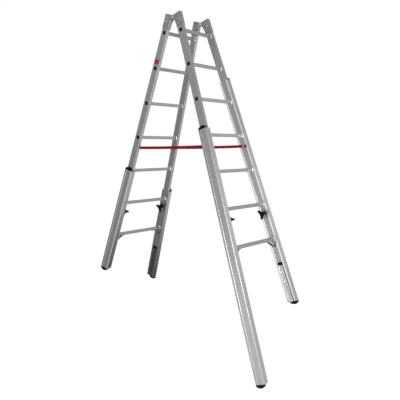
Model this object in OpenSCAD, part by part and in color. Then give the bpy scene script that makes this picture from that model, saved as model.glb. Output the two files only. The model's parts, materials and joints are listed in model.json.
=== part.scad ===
// Trestle ladder: two rung sections hinged at the top, each standing on two leg sleeves
// that slide out on their own and are clamped, so that the ladder stands on stairs.
// Millimetres and degrees. X runs from the short-legged section to the long-legged one,
// and left and right are as seen from in front of the long-legged section.

/* [Sections] */
// Half of the angle between the two open sections
half_angle = 17.8; // [15:0.1:20]
// Width over the stiles at the hinge axis
top_width = 363; // [340:1:400]
// Lean of each stile outwards from the middle of its section
stile_lean = 3.34; // [2.8:0.02:3.8]
// Length of a stile's tube
stile_length = 2005; // [1985:1:2030]
// Rise of the tube above the hinge axis
stile_rise = 11; // [9:0.5:13]
// Depth of a stile, seen from the ladder's side
stile_depth = 60; // [56:0.5:64]
// Thickness of a stile, seen from the ladder's front
stile_thick = 25; // [23:0.5:28]
// Wall of a stile
stile_wall = 2.2; // [1.8:0.1:2.6]
// Corner radius of a stile
stile_round = 3; // [2:0.25:4]
// Height of the black shoe on a stile's lower end
shoe_height = 24; // [16:1:30]
// Depth of a shoe or cap in the tube's end
shoe_grip = 22; // [14:1:30]

/* [Rungs] */
// Rungs in a section
rung_count = 7; // [6:1:7]
// Distance from the hinge axis down to the first rung
first_rung = 128; // [122:1:140]
// Distance from rung to rung
rung_pitch = 280; // [270:1:284]
// Side of a rung's square tube
rung_size = 24.5; // [22:0.5:28]
// Wall of a rung
rung_wall = 2; // [1.6:0.1:2.6]
// Corner radius of a rung
rung_round = 4; // [3.4:0.1:6]
// Reach of the bead around a rung where it meets a stile
bead_reach = 3.5; // [2:0.25:5]
// Thickness of that bead
bead_thick = 4; // [2:0.25:6]
// Depth of the plug in a rung's end
plug_grip = 16; // [10:1:24]

/* [Hinge] */
// Gap between the leg sleeves of the folded sections
fold_gap = 18; // [14:0.5:24]
// Thickness of a hinge plate
plate_thick = 3; // [2.5:0.1:4]
// Radius of a plate's eye
eye_radius = 14; // [12.5:0.25:15]
// Reach of a plate down its stile
plate_reach = 96; // [84:1:104]
// Depth below the hinge axis at which a plate's arch meets its stile
arch_drop = 78; // [66:1:82]
// Diameter of the hinge bolt
hinge_bolt = 10; // [8:0.5:12]
// Gap between neighbouring eyes
eye_gap = 1; // [0.8:0.1:1.6]

/* [Leg sleeves] */
// Length of the sleeves on the long-legged section
long_sleeve = 1798; // [1750:1:1850]
// Length of the sleeves on the short-legged section
short_sleeve = 852; // [820:1:900]
// Top of the long left sleeve, down from the hinge axis
long_left_top = 926; // [700:1:1200]
// Top of the long right sleeve, down from the hinge axis
long_right_top = 509; // [300:1:800]
// Top of the short left sleeve, down from the hinge axis
short_left_top = 1246; // [1200:1:1400]
// Top of the short right sleeve, down from the hinge axis
short_right_top = 1451; // [1300:1:1500]
// Depth of a sleeve's hollow outer chamber
chamber_depth = 16.5; // [16.25:0.25:20]
// Walls of the chamber
chamber_wall = 2; // [1.6:0.1:2.4]
// Radius of the chamber's outer corners
sleeve_round = 8; // [6:0.25:8]
// Depth of the recess along a sleeve's outer face
recess_depth = 2; // [1:0.1:2.5]
// Wall of a sleeve's flanges
flange_wall = 2.5; // [2:0.1:3.5]
// Height of the guide ribs inside a flange
guide_height = 6; // [4:0.25:7]
// Thickness of the lips that hold the stile in
lip_thick = 2; // [1.6:0.1:3]
// Reach of a lip over the stile's inner face
lip_reach = 7; // [4:0.25:8]
// Running gap between sleeve and stile
slide_gap = 0.5; // [0.3:0.05:0.8]

/* [Feet] */
// Height of a rubber foot below its sleeve, and of the plug above it
foot_height = 25; // [20:0.5:32]
// Height of a foot's straight sides
foot_side = 7; // [4:0.5:10]
// Depth of the flat on which a foot stands
foot_flat = 2; // [1.5:0.1:3]
// Depth of a foot or plug in its sleeve
foot_grip = 26; // [16:1:36]

/* [Clamps] */
// Distance from the hinge axis down to a clamp, along the stile
clamp_place = 1604; // [1590:1:1640]
// Reach of a knob's arms
knob_reach = 42; // [36:0.5:44]
// Width of a knob's arms
knob_arm = 17; // [13:0.5:20]
// Thickness of a knob's arms
knob_thick = 20; // [14:0.5:24]
// Length of the collar that holds a knob off its stile
collar_length = 28; // [18:0.5:34]
// Diameter of a clamp's stud
stud = 8; // [6:0.5:10]

/* [Straps and braces] */
// Distance from the hinge axis down to the straps
strap_place = 1055; // [1020:1:1080]
// Width of a strap
strap_width = 22; // [18:0.5:26]
// Thickness of a strap
strap_thick = 2; // [1.4:0.1:2.6]
// Distance from a brace's stile end to the rung above it, down the section
brace_drop = 62; // [50:1:90]
// Reach of a brace along its rung, from the stile's inner face
brace_reach = 72; // [56:1:90]
// Width of a brace
brace_width = 20; // [16:0.5:26]
// Thickness of a brace
brace_thick = 3; // [2:0.1:4]

/* [Hidden] */
$fn = 48;
LONG = "long";
SHORT = "short";
SECTIONS = [SHORT, LONG];
LEFT = "left";
RIGHT = "right";
HANDS = [LEFT, RIGHT];
RUNGS = [1:rung_count];

// Overrun of every cut, and the gaps of fixed and turning fits
over = 1;
fit = 0.1;
turn_fit = 0.06;
seat_gap = 0.3;

// A sleeve clears its stile by the guide ribs, and the folded sleeves clear each other
sleeve_depth = stile_depth + 2 * (slide_gap + guide_height + flange_wall);
hinge_offset = sleeve_depth / 2 + fold_gap / 2;
chamber_out = slide_gap + chamber_depth;
chamber_room = chamber_depth - recess_depth - 2 * chamber_wall;
mouth = stile_depth - 2 * lip_reach;
flange_end = -stile_thick - slide_gap - lip_thick;
flange_cut = 11;
hollow_round = 4;
recess_share = 0.48;
guide_width = 4;
tread_width = 2;
tread_depth = 0.7;
tread_share = 0.27;

// The plates' joggle clears the other plate's eye
joggle_start = 0.6;
joggle_run = 3;
eye_shift = plate_thick + eye_gap;
arch_span = hinge_offset - stile_depth / 2;
arch_radius = (pow(arch_drop - eye_radius, 2) + pow(arch_span, 2)) / (2 * arch_span);
cap_thick = eye_radius - stile_rise;
bolt_head_share = 0.9;
bolt_head = bolt_head_share * hinge_bolt;
bolt_head_thick = 4.5;
bolt_nut_share = 0.85;
bolt_nut = bolt_nut_share * hinge_bolt;
bolt_nut_thick = 8;
bolt_end = 3;
spacer_wall = 3;
rivet = 2.5;
rivet_head = 5;
rivet_head_thick = 2;
// Places of the plates' rivets, as shares of the stile's depth and the plate's reach
rivet_shares = [[0.1, 0.14], [0.16, 0.42], [-0.12, 0.78]];

slot_gap = 0.5;
slot_width = stud + 2 * slot_gap;
nut_length = 26;
nut_width = 22;
nut_thick = 6;
stud_end = 1.5;
hub_radius = 14;
collar_radius = 10;
knob_cap = 4;
knob_dome = 9;
arm_turn = 120;
knob_turns = [[110, 8], [42, 4]];

strap_stand = 5;
strap_tail = 28;
strap_rivet = 3;
strap_washer = 8;
strap_washer_thick = 2;
strap_shoulder = 5.5;
rivet_tail = 3;
rivet_tail_grip = 1.2;
brace_tab = 26;
foot_sag = foot_height - foot_side;
foot_radius = (pow(sleeve_depth / 2, 2) + pow(foot_sag, 2)) / (2 * foot_sag);

alu = [0.72, 0.73, 0.74];
alu_dull = [0.62, 0.63, 0.64];
plate_grey = [0.36, 0.38, 0.38];
black = [0.06, 0.06, 0.06];
steel = [0.8, 0.8, 0.82];
red = [0.7, 0.08, 0.1];

function leg_name(side, hand) = str(side, "_", hand);
// The way along X to a section, or along Y to a hand
function way(name) = name == LONG || name == RIGHT ? 1 : -1;
function sleeve_length(side) = side == LONG ? long_sleeve : short_sleeve;
function sleeve_top(side, hand) =
    side == LONG ? (hand == LEFT ? long_left_top : long_right_top)
                 : (hand == LEFT ? short_left_top : short_right_top);
function sleeve_end(side, hand) = sleeve_top(side, hand) + sleeve_length(side);
function rung_place(i) = first_rung + (i - 1) * rung_pitch;
function half_width(down) = top_width / 2 + down * tan(stile_lean);
function inner_half(down) = half_width(down) - stile_thick / cos(stile_lean);

// A point of a section, from its stiles' middle plane, seen from the hinge axis
function section_point(side, out, across, down) = [
    way(side) * (down * sin(half_angle) + (hinge_offset + out) * cos(half_angle)),
    across,
    -down * cos(half_angle) + (hinge_offset + out) * sin(half_angle)
];
// A point of a stile, from its outer face and along it, seen from the hinge axis
function stile_point(side, hand, out, proud, along) = section_point(
    side, out,
    way(hand) * (top_width / 2 + along * sin(stile_lean) + proud * cos(stile_lean)),
    along * cos(stile_lean) - proud * sin(stile_lean)
);

// The flat under a foot is level, and deep enough to run right across the foot
foot_lean = sin(stile_lean) * cos(half_angle);
function foot_level(side, hand) =
    stile_point(side, hand, 0, slide_gap, sleeve_end(side, hand) + foot_height - foot_radius)[2]
    - foot_radius * sqrt(1 - foot_lean * foot_lean) + foot_flat;
function foot_corner(side, hand) =
    stile_point(side, hand, sleeve_depth / 2, slide_gap, sleeve_end(side, hand) + foot_side)[0];
function foot_side_face(side, hand) =
    stile_point(side, hand, 0, chamber_out, sleeve_end(side, hand) + foot_height)[1];

// The origin is the middle of the part's box, on the level of its lowest foot
LEGS = [for (side = SECTIONS) for (hand = HANDS) [side, hand]];
foot_levels = [for (leg = LEGS) foot_level(leg[0], leg[1])];
foot_corners = [for (leg = LEGS) foot_corner(leg[0], leg[1])];
foot_faces = [for (leg = LEGS) foot_side_face(leg[0], leg[1])];
hinge_place = [
    -(min(foot_corners) + max(foot_corners)) / 2,
    -(min(foot_faces) + max(foot_faces)) / 2,
    -min(foot_levels)
];

// Frames
// A section: X out of the ladder, Y across, Z up the section, from the hinge axis
module section_frame(side)
    translate(hinge_place)
        mirror([side == SHORT ? 1 : 0, 0, 0])
            rotate([0, -half_angle, 0])
                children();

// A stile: X out of the ladder, Y out of its outer face, Z up along it
module stile_frame(side, hand)
    section_frame(side)
        mirror([0, hand == LEFT ? 1 : 0, 0])
            translate([hinge_offset, top_width / 2, 0])
                rotate([stile_lean, 0, 0])
                    children();

// The height of a rung, in the middle of its section
module rung_frame(side, i)
    section_frame(side)
        translate([hinge_offset, 0, -rung_place(i)])
            children();

// An outline of X and Z, given its thickness towards -Y
module upright(thick)
    rotate([90, 0, 0])
        linear_extrude(thick)
            children();

// Outlines
module rounded_square(width, height, radius) {
    square([width - 2 * radius, height], center = true);
    square([width, height - 2 * radius], center = true);
    for (x = [-1, 1], y = [-1, 1])
        translate([x * (width / 2 - radius), y * (height / 2 - radius)])
            circle(radius);
}

module stile_outline()
    translate([0, -stile_thick / 2])
        rounded_square(stile_depth, stile_thick, stile_round);

module stile_hollow(gap)
    translate([0, -stile_thick / 2])
        square([stile_depth - 2 * (stile_wall + gap), stile_thick - 2 * (stile_wall + gap)], center = true);

module rung_outline(grow)
    rounded_square(rung_size + 2 * grow, rung_size + 2 * grow, rung_round + grow);

module rung_hollow(gap)
    rounded_square(rung_size - 2 * (rung_wall + gap), rung_size - 2 * (rung_wall + gap), rung_round - rung_wall - gap);

// A bar along a rung, turned so that its tread is level when the ladder stands open
module rung_bar(length)
    rotate([90, half_angle, 0])
        linear_extrude(length, center = true)
            children();

// A bar through both stiles, cut along their outer faces and set in from them
module bar_across(i, length, set_in)
    intersection() {
        rung_bar(length)
            children();
        rotate([90, 0, 90])
            linear_extrude(2 * rung_size, center = true)
                polygon([for (corner = [[-1, 1], [1, 1], [1, -1], [-1, -1]])
                    [corner[0] * (half_width(rung_place(i) - corner[1] * rung_size) - set_in),
                     corner[1] * rung_size]]);
    }

// Stiles, with holes for the rungs, rivets, strap rivets and clamp
module stile(side, hand)
    color(alu)
        difference() {
            stile_frame(side, hand)
                translate([0, 0, stile_rise - stile_length])
                    linear_extrude(stile_length)
                        difference() {
                            stile_outline();
                            stile_hollow(0);
                        }
            for (i = RUNGS)
                rung_frame(side, i)
                    rung_bar(2 * half_width(stile_length))
                        rung_outline(fit);
            stile_frame(side, hand) {
                plate_rivet_holes();
                clamp_hole(stud / 2 + turn_fit);
            }
            strap_rivet_hole(side, hand);
            brace_stile_hole(side, hand);
        }

module plate_rivet_holes()
    for (place = rivet_shares)
        translate([place[0] * stile_depth, plate_thick + over, -place[1] * plate_reach])
            upright(stile_thick + 2 * (plate_thick + over))
                circle(rivet + fit);

module clamp_hole(radius)
    translate([0, over, -clamp_place])
        upright(stile_thick + 2 * over)
            circle(radius);

// Rungs: square tubes with a bead on each stile's inner face
module rung(side, i)
    color(alu)
        difference() {
            union() {
                rung_frame(side, i)
                    bar_across(i, 2 * half_width(rung_place(i) + rung_pitch), 0)
                        rung_profile();
                for (hand = HANDS)
                    stile_frame(side, hand)
                        translate([0, -stile_thick, stile_thick * tan(stile_lean) - rung_place(i) / cos(stile_lean)])
                            rotate([0, half_angle, 0])
                                upright(bead_thick)
                                    rung_outline(bead_reach);
            }
            rung_frame(side, i)
                rung_bar(2 * half_width(rung_place(i) + rung_pitch))
                    rung_hollow(0);
            if (i == rung_count)
                for (hand = HANDS)
                    brace_rung_hole(side, hand);
        }

module rung_profile()
    difference() {
        rung_outline(0);
        for (x = [-1, 0, 1], y = [-1, 1])
            translate([x * tread_share * rung_size, y * rung_size / 2])
                square([tread_width, 2 * tread_depth], center = true);
    }

// Black plugs in the rungs' ends, flush with the stiles
module rung_plugs(side)
    color(black)
        for (i = RUNGS)
            rung_frame(side, i)
                difference() {
                    bar_across(i, 2 * half_width(rung_place(i) + rung_pitch), 0)
                        rung_hollow(fit);
                    bar_across(i, 2 * half_width(rung_place(i) + rung_pitch), plug_grip)
                        rung_hollow(-over);
                }

// Caps on the stiles' tops and black shoes on their lower ends
module stile_caps(side)
    color(black)
        for (hand = HANDS)
            stile_frame(side, hand) {
                translate([0, 0, stile_rise]) {
                    linear_extrude(cap_thick)
                        stile_outline();
                    translate([0, 0, -shoe_grip])
                        linear_extrude(shoe_grip)
                            cap_grip();
                }
                translate([0, 0, stile_rise - stile_length]) {
                    translate([0, 0, -shoe_height])
                        linear_extrude(shoe_height)
                            stile_outline();
                    linear_extrude(shoe_grip)
                        stile_hollow(fit);
                }
            }

// The top cap's grip leaves room for the highest rivet
module cap_grip()
    difference() {
        stile_hollow(fit);
        translate([rivet_shares[0][0] * stile_depth, -stile_thick / 2])
            square([2 * (rivet + over), stile_thick], center = true);
    }

// Hinge plates: one on each face of a stile. They have eyes around the hinge axis, apart from the
// short-legged section's outer ones, which end at the stile's edge
module plate_outline() {
    difference() {
        translate([-hinge_offset, -plate_reach])
            square([hinge_offset + stile_depth / 2, plate_reach + eye_radius]);
        translate([-hinge_offset - over, -plate_reach - over])
            square([arch_span + over, plate_reach - arch_drop + over]);
        translate([-stile_depth / 2 - arch_radius, -arch_drop])
            circle(arch_radius, $fn = 96);
    }
    translate([-hinge_offset, 0])
        circle(eye_radius);
}

module plain_plate()
    translate([-stile_depth / 2, -plate_reach])
        square([stile_depth, plate_reach + eye_radius]);

// The short-legged section's eyes lie inside the other section's
module eye_step()
    linear_extrude(3 * plate_reach, center = true) {
        edge = -stile_depth / 2 - joggle_start;
        far = -hinge_offset - 2 * eye_radius;
        polygon([
            [stile_depth, plate_thick], [edge, plate_thick],
            [edge - joggle_run, plate_thick - eye_shift], [far, plate_thick - eye_shift],
            [far, -eye_shift], [edge - joggle_run, -eye_shift], [edge, 0], [stile_depth, 0]
        ]);
    }

module plate_pair(side)
    for (face = [0, 1])
        translate([0, -face * stile_thick, 0])
            mirror([0, face, 0])
                intersection() {
                    translate([0, plate_thick + over, 0])
                        upright(plate_thick + eye_shift + 2 * over)
                            if (side == LONG || face == 1)
                                plate_outline();
                            else
                                plain_plate();
                    if (side == SHORT)
                        eye_step();
                    else
                        translate([-hinge_offset - stile_depth, 0, -2 * plate_reach])
                            cube([hinge_offset + 2 * stile_depth, plate_thick, 3 * plate_reach]);
                }

// Seats across the hinge axis: the bolt's head, its nut, and the spacer from the short-legged section's
// eye to the other section's outer plate
head_seat = top_width / 2 + plate_thick / cos(stile_lean) - bolt_head * tan(stile_lean);
nut_seat = top_width / 2 - (stile_thick + plate_thick) / cos(stile_lean) + bolt_head * tan(stile_lean);
spacer_out = top_width / 2 - eye_gap / cos(stile_lean) - (hinge_bolt / 2 + spacer_wall) * tan(stile_lean);
spacer_in = top_width / 2 - (stile_thick - eye_shift) / cos(stile_lean)
    + (hinge_bolt / 2 + spacer_wall) * tan(stile_lean) + fit;

// A round bar along the hinge axis, between two distances from the ladder's middle
module hinge_bar(hand, from, to, radius)
    translate(hinge_place)
        mirror([0, hand == LEFT ? 1 : 0, 0])
            translate([0, to, 0])
                upright(to - from)
                    circle(radius);

module hinge_plates(side, hand)
    color(plate_grey)
        difference() {
            stile_frame(side, hand)
                difference() {
                    plate_pair(side);
                    plate_rivet_holes();
                }
            hinge_bar(hand, 0, top_width, hinge_bolt / 2 + turn_fit);
            hinge_bar(hand, head_seat, top_width, bolt_head + seat_gap);
            hinge_bar(hand, nut_seat - stile_thick, nut_seat, bolt_head + seat_gap);
        }

module hinge_bolts()
    color(steel)
        for (hand = HANDS) {
            hinge_bar(hand, head_seat, head_seat + bolt_head_thick, bolt_head);
            hinge_bar(hand, nut_seat - bolt_nut_thick - bolt_end, head_seat, hinge_bolt / 2);
        }

module hinge_nuts()
    color(steel)
        for (hand = HANDS)
            difference() {
                translate(hinge_place)
                    mirror([0, hand == LEFT ? 1 : 0, 0])
                        translate([0, nut_seat, 0])
                            upright(bolt_nut_thick)
                                circle(bolt_nut, $fn = 6);
                hinge_bar(hand, 0, top_width, hinge_bolt / 2 + turn_fit);
            }

module hinge_spacers()
    color(alu_dull)
        for (hand = HANDS)
            difference() {
                hinge_bar(hand, spacer_in, spacer_out, hinge_bolt / 2 + spacer_wall);
                hinge_bar(hand, 0, top_width, hinge_bolt / 2 + turn_fit);
            }

// Rivets
module rivet_bar(length, radius)
    upright(length)
        circle(radius);

module plate_rivets()
    for (place = rivet_shares)
        translate([place[0] * stile_depth, plate_thick, -place[1] * plate_reach]) {
            rivet_bar(stile_thick + 2 * plate_thick, rivet);
            translate([0, rivet_head_thick, 0])
                rivet_bar(rivet_head_thick, rivet_head);
            translate([0, -stile_thick - 2 * plate_thick, 0])
                rivet_bar(rivet_head_thick, rivet_head);
        }

module section_rivets(side)
    color(steel)
        for (hand = HANDS) {
            stile_frame(side, hand)
                plate_rivets();
            strap_rivet_frame(side, hand)
                strap_rivet_solid();
            brace_stile_frame(side, hand)
                blind_rivet(stile_wall);
            brace_rung_frame(side, hand)
                blind_rivet(rung_wall);
        }

// A rivet through a brace and a wall behind it, whose outer face is at Y = 0
module blind_rivet(wall) {
    translate([0, wall + rivet_tail_grip, 0])
        rivet_bar(wall + rivet_tail_grip + brace_thick, rivet);
    translate([0, wall + rivet_tail_grip, 0])
        rivet_bar(rivet_tail_grip, rivet + rivet_tail_grip);
    translate([0, -brace_thick, 0])
        rivet_bar(rivet_head_thick, rivet_head);
}

// Straps, held off the stiles' inner faces by shouldered rivets
strap_across = inner_half(strap_place) - strap_stand;
strap_ends = section_point(LONG, 0, 0, strap_place);

module strap_rivet_frame(side, hand)
    translate(hinge_place + [way(side) * strap_ends[0], 0, strap_ends[2]])
        mirror([0, hand == LEFT ? 1 : 0, 0])
            translate([0, strap_across, 0])
                children();

module strap_rivet_solid() {
    wall_out = strap_stand + stile_wall / cos(stile_lean) + strap_shoulder * tan(stile_lean);
    translate([0, wall_out + rivet_tail, 0])
        rivet_bar(wall_out + rivet_tail + strap_thick, strap_rivet);
    translate([0, wall_out + rivet_tail, 0])
        rivet_bar(rivet_tail, strap_rivet + rivet_tail_grip);
    translate([0, strap_stand - strap_shoulder * tan(stile_lean), 0])
        rivet_bar(strap_stand - strap_shoulder * tan(stile_lean), strap_shoulder);
    translate([0, -strap_thick, 0])
        rivet_bar(strap_washer_thick, strap_washer);
}

module strap_rivet_hole(side, hand)
    strap_rivet_frame(side, hand)
        translate([0, strap_stand + stile_thick / 2, 0])
            rivet_bar(stile_thick, strap_rivet + fit);

module strap(hand)
    color(red)
        difference() {
            translate(hinge_place)
                mirror([0, hand == LEFT ? 1 : 0, 0])
                    translate([0, strap_across - strap_thick / 2, strap_ends[2]])
                        cube([2 * (strap_ends[0] + strap_tail), strap_thick, strap_width], center = true);
            for (side = SECTIONS)
                strap_rivet_frame(side, hand)
                    translate([0, over, 0])
                        rivet_bar(strap_thick + 2 * over, strap_rivet + fit);
        }

// Braces: bent flat bars under the last rung, with a tab turned to lie on its level underside
brace_rung = rung_place(rung_count) + rung_size / 2 * cos(half_angle);
brace_set = -rung_size / 2 * sin(half_angle);
brace_lap = brace_width / 2 * tan(half_angle);
brace_top = rung_place(rung_count) + brace_drop;
brace_bends = [
    [inner_half(brace_rung) - brace_reach - brace_tab, -brace_rung],
    [inner_half(brace_rung) - brace_reach, -brace_rung],
    [inner_half(brace_top), -brace_top],
    [inner_half(brace_top + brace_tab), -brace_top - brace_tab]
];
brace_lines = [for (i = [0:2]) (brace_bends[i + 1] - brace_bends[i]) / norm(brace_bends[i + 1] - brace_bends[i])];
brace_slope = atan2(-brace_lines[1][1], brace_lines[1][0]);
brace_inside = [for (i = [0:2]) brace_bends[i] + brace_thick * [brace_lines[i][1], -brace_lines[i][0]]];
function crossing(p, d, q, e) = p + d * cross(q - p, e) / cross(d, e);

module brace_outline()
    polygon([
        brace_bends[1] - brace_lap / sin(brace_slope) * brace_lines[1],
        brace_bends[2],
        brace_bends[3],
        brace_bends[3] + brace_thick * [brace_lines[2][1], -brace_lines[2][0]],
        crossing(brace_inside[1], brace_lines[1], brace_inside[2], brace_lines[2]),
        brace_inside[1] - brace_lap / sin(brace_slope) * brace_lines[1]
    ]);

module braces(side)
    color(alu)
        for (hand = HANDS)
            difference() {
                union() {
                    section_frame(side)
                        mirror([0, hand == LEFT ? 1 : 0, 0])
                            translate([hinge_offset + brace_set, 0, 0])
                                rotate([90, 0, 90])
                                    linear_extrude(brace_width, center = true)
                                        brace_outline();
                    brace_rung_frame(side, hand)
                        translate([0, -brace_thick / 2, -brace_lap / 2])
                            cube([brace_width, brace_thick, brace_tab + brace_lap], center = true);
                }
                brace_rung_frame(side, hand)
                    translate([0, rung_size / 2, 0])
                        cube([2 * rung_size, rung_size, 2 * brace_reach], center = true);
                brace_stile_hole(side, hand);
                brace_rung_hole(side, hand);
            }

// The rivet places of a brace: Y into the stile's wall, or up into the rung's
module brace_stile_frame(side, hand)
    stile_frame(side, hand)
        translate([brace_set, -stile_thick,
                   stile_thick * tan(stile_lean) - (brace_top + brace_tab / 2) / cos(stile_lean)])
            children();

module brace_rung_frame(side, hand)
    section_frame(side)
        mirror([0, hand == LEFT ? 1 : 0, 0])
            translate([hinge_offset, brace_bends[0][0] + brace_tab / 2, -rung_place(rung_count)])
                rotate([0, half_angle, 0])
                    translate([0, 0, -rung_size / 2])
                        rotate([90, 0, 0])
                            children();

module brace_stile_hole(side, hand)
    brace_stile_frame(side, hand)
        translate([0, stile_wall + over, 0])
            rivet_bar(stile_wall + brace_thick + 2 * over, rivet + fit);

module brace_rung_hole(side, hand)
    brace_rung_frame(side, hand)
        translate([0, rung_wall + over, 0])
            rivet_bar(rung_wall + brace_thick + 2 * over, rivet + fit);

// Leg sleeves: open channels around the stiles, with a hollow chamber outside
module sleeve_outline()
    difference() {
        union() {
            chamber_outline();
            for (m = [0, 1])
                mirror([m, 0])
                    sleeve_flange();
        }
        chamber_hollow(0);
        translate([0, slide_gap + chamber_wall / 2])
            square([slot_width, chamber_wall + 2 * over], center = true);
        recess_outline();
    }

// The chamber is round outside and square against the stile
module chamber_outline() {
    translate([0, slide_gap + chamber_depth / 2])
        rounded_square(sleeve_depth, chamber_depth, sleeve_round);
    translate([-sleeve_depth / 2, slide_gap])
        square([sleeve_depth, chamber_depth / 2]);
}

module chamber_hollow(gap)
    translate([0, slide_gap + chamber_wall + chamber_room / 2])
        rounded_square(sleeve_depth - 2 * (chamber_wall + gap), chamber_room - 2 * gap, hollow_round);

// The recess runs the sleeve's whole length, with sloping sides
module recess_outline() {
    half = recess_share * sleeve_depth / 2;
    polygon([
        [-half - over, chamber_out + over], [-half + recess_depth, chamber_out - recess_depth],
        [half - recess_depth, chamber_out - recess_depth], [half + over, chamber_out + over]
    ]);
}

module sleeve_flange() {
    translate([sleeve_depth / 2 - flange_wall, flange_end])
        square([flange_wall, slide_gap + chamber_depth / 2 - flange_end]);
    translate([mouth / 2, flange_end])
        square([sleeve_depth / 2 - mouth / 2, lip_thick]);
    for (y = [-guide_width, -stile_thick + guide_width])
        translate([stile_depth / 2 + slide_gap, y - guide_width / 2])
            square([guide_height + over, guide_width]);
}

// The flanges' lower corners are cut off
module sleeve(side, hand)
    color(alu)
        stile_frame(side, hand)
            translate([0, 0, -sleeve_end(side, hand)])
                difference() {
                    linear_extrude(sleeve_length(side))
                        sleeve_outline();
                    rotate([90, 0, 90])
                        linear_extrude(sleeve_depth + 2 * over, center = true)
                            polygon([
                                [flange_end - over, -over],
                                [flange_end + flange_cut + over, -over],
                                [flange_end - over, flange_cut + over]
                            ]);
                }

// The moulding on a sleeve's end: round underneath, with a grip inside the chamber
module end_moulding() {
    intersection() {
        translate([0, chamber_out + over, foot_radius - foot_height])
            upright(chamber_depth + 2 * over)
                circle(foot_radius, $fn = 96);
        translate([0, 0, -foot_height - over])
            linear_extrude(foot_height + over)
                chamber_outline();
    }
    linear_extrude(foot_grip)
        chamber_hollow(fit);
}

module sleeve_plug(side, hand)
    color(black)
        stile_frame(side, hand)
            translate([0, 0, -sleeve_top(side, hand)])
                mirror([0, 0, 1])
                    end_moulding();

// Rubber feet, with a level flat
module foot(side, hand)
    color(black)
        difference() {
            stile_frame(side, hand)
                translate([0, 0, -sleeve_end(side, hand)])
                    end_moulding();
            translate(hinge_place + stile_point(side, hand, 0, 0, sleeve_end(side, hand)))
                translate([-sleeve_depth, -sleeve_depth,
                           foot_level(side, hand) - stile_point(side, hand, 0, 0, sleeve_end(side, hand))[2]
                           - sleeve_depth])
                    cube([2 * sleeve_depth, 2 * sleeve_depth, sleeve_depth]);
        }

// Clamps: a star knob on a stud, which draws a nut against the slot inside the sleeve
stud_out = slide_gap + chamber_wall + chamber_room - stud_end;
knob_seat = stile_thick + seat_gap + collar_length;
stud_in = knob_seat + knob_thick - knob_cap;

module clamp_frame(side, hand)
    stile_frame(side, hand)
        translate([0, 0, -clamp_place])
            children();

module knob_outline(turn)
    for (arm = [0:2])
        rotate(turn + arm * arm_turn) {
            translate([0, -knob_arm / 2])
                square([knob_reach - knob_arm / 2, knob_arm]);
            translate([knob_reach - knob_arm / 2, 0])
                circle(d = knob_arm);
            circle(hub_radius);
        }

module knob(side, hand)
    color(black)
        clamp_frame(side, hand)
            difference() {
                union() {
                    translate([0, -knob_seat, 0])
                        upright(knob_thick)
                            knob_outline(knob_turns[side == LONG ? 0 : 1][hand == LEFT ? 0 : 1]);
                    translate([0, -knob_seat - knob_thick, 0])
                        rivet_bar(knob_cap, knob_dome);
                }
                translate([0, over, 0])
                    rivet_bar(stud_in + over, stud / 2 + turn_fit);
            }

// A stud, with the collar that its knob sits on
module clamp_stud(side, hand)
    color(steel)
        clamp_frame(side, hand) {
            translate([0, stud_out, 0])
                rivet_bar(stud_out + stud_in, stud / 2);
            translate([0, -stile_thick - seat_gap, 0])
                rivet_bar(collar_length, collar_radius);
        }

module slot_nut(side, hand)
    color(steel)
        clamp_frame(side, hand)
            difference() {
                translate([-nut_width / 2, slide_gap + chamber_wall + seat_gap, -nut_length / 2])
                    cube([nut_width, nut_thick, nut_length]);
                translate([0, chamber_out, 0])
                    rivet_bar(chamber_depth, stud / 2 + turn_fit);
            }

for (leg = LEGS) {
    name = leg_name(leg[0], leg[1]);
    stile(leg[0], leg[1]);
    hinge_plates(leg[0], leg[1]);
    sleeve(leg[0], leg[1]);
    sleeve_plug(leg[0], leg[1]);
    foot(leg[0], leg[1]);
    knob(leg[0], leg[1]);
    clamp_stud(leg[0], leg[1]);
    slot_nut(leg[0], leg[1]);
}
for (side = SECTIONS) {
    for (i = RUNGS)
        rung(side, i);
    rung_plugs(side);
    stile_caps(side);
    section_rivets(side);
    braces(side);
}
hinge_bolts();
hinge_nuts();
hinge_spacers();
strap(LEFT);  // left_strap
strap(RIGHT);  // right_strap
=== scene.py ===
"""Looks of a trestle ladder: metal, plastic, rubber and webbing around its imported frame.

Lengths are metres in the frame's axes: X runs from the short-legged section to the
long-legged one, Y from the left hand to the right, and Z up.
"""

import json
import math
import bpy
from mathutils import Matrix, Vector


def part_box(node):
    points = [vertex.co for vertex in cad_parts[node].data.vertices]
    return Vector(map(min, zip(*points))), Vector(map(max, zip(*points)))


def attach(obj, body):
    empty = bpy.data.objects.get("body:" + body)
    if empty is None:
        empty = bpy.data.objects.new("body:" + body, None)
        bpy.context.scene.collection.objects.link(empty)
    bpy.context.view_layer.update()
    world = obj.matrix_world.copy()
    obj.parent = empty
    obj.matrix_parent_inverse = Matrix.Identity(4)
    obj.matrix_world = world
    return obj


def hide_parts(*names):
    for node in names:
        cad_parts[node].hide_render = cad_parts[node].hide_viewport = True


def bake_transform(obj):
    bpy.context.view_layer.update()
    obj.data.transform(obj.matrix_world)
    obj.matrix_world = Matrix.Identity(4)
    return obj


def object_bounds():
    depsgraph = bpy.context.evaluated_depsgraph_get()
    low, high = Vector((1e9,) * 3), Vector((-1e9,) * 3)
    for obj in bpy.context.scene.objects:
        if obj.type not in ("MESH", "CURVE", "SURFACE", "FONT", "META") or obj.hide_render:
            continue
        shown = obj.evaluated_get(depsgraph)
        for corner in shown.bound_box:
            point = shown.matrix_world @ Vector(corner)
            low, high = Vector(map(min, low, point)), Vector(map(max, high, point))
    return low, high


bl_info = {
    "name": "Trestle ladder",
    "version": (1, 0, 0),
    "blender": (4, 5, 0),
    "location": "View3D > Sidebar > Ladder",
    "description": "Dresses the frame of a trestle ladder with its finishes, straps, knobs and feet",
    "category": "Object",
}

import bmesh
import bpy
import numpy as np
from bpy.props import FloatProperty, FloatVectorProperty, PointerProperty
from mathutils import Matrix, Vector

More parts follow.
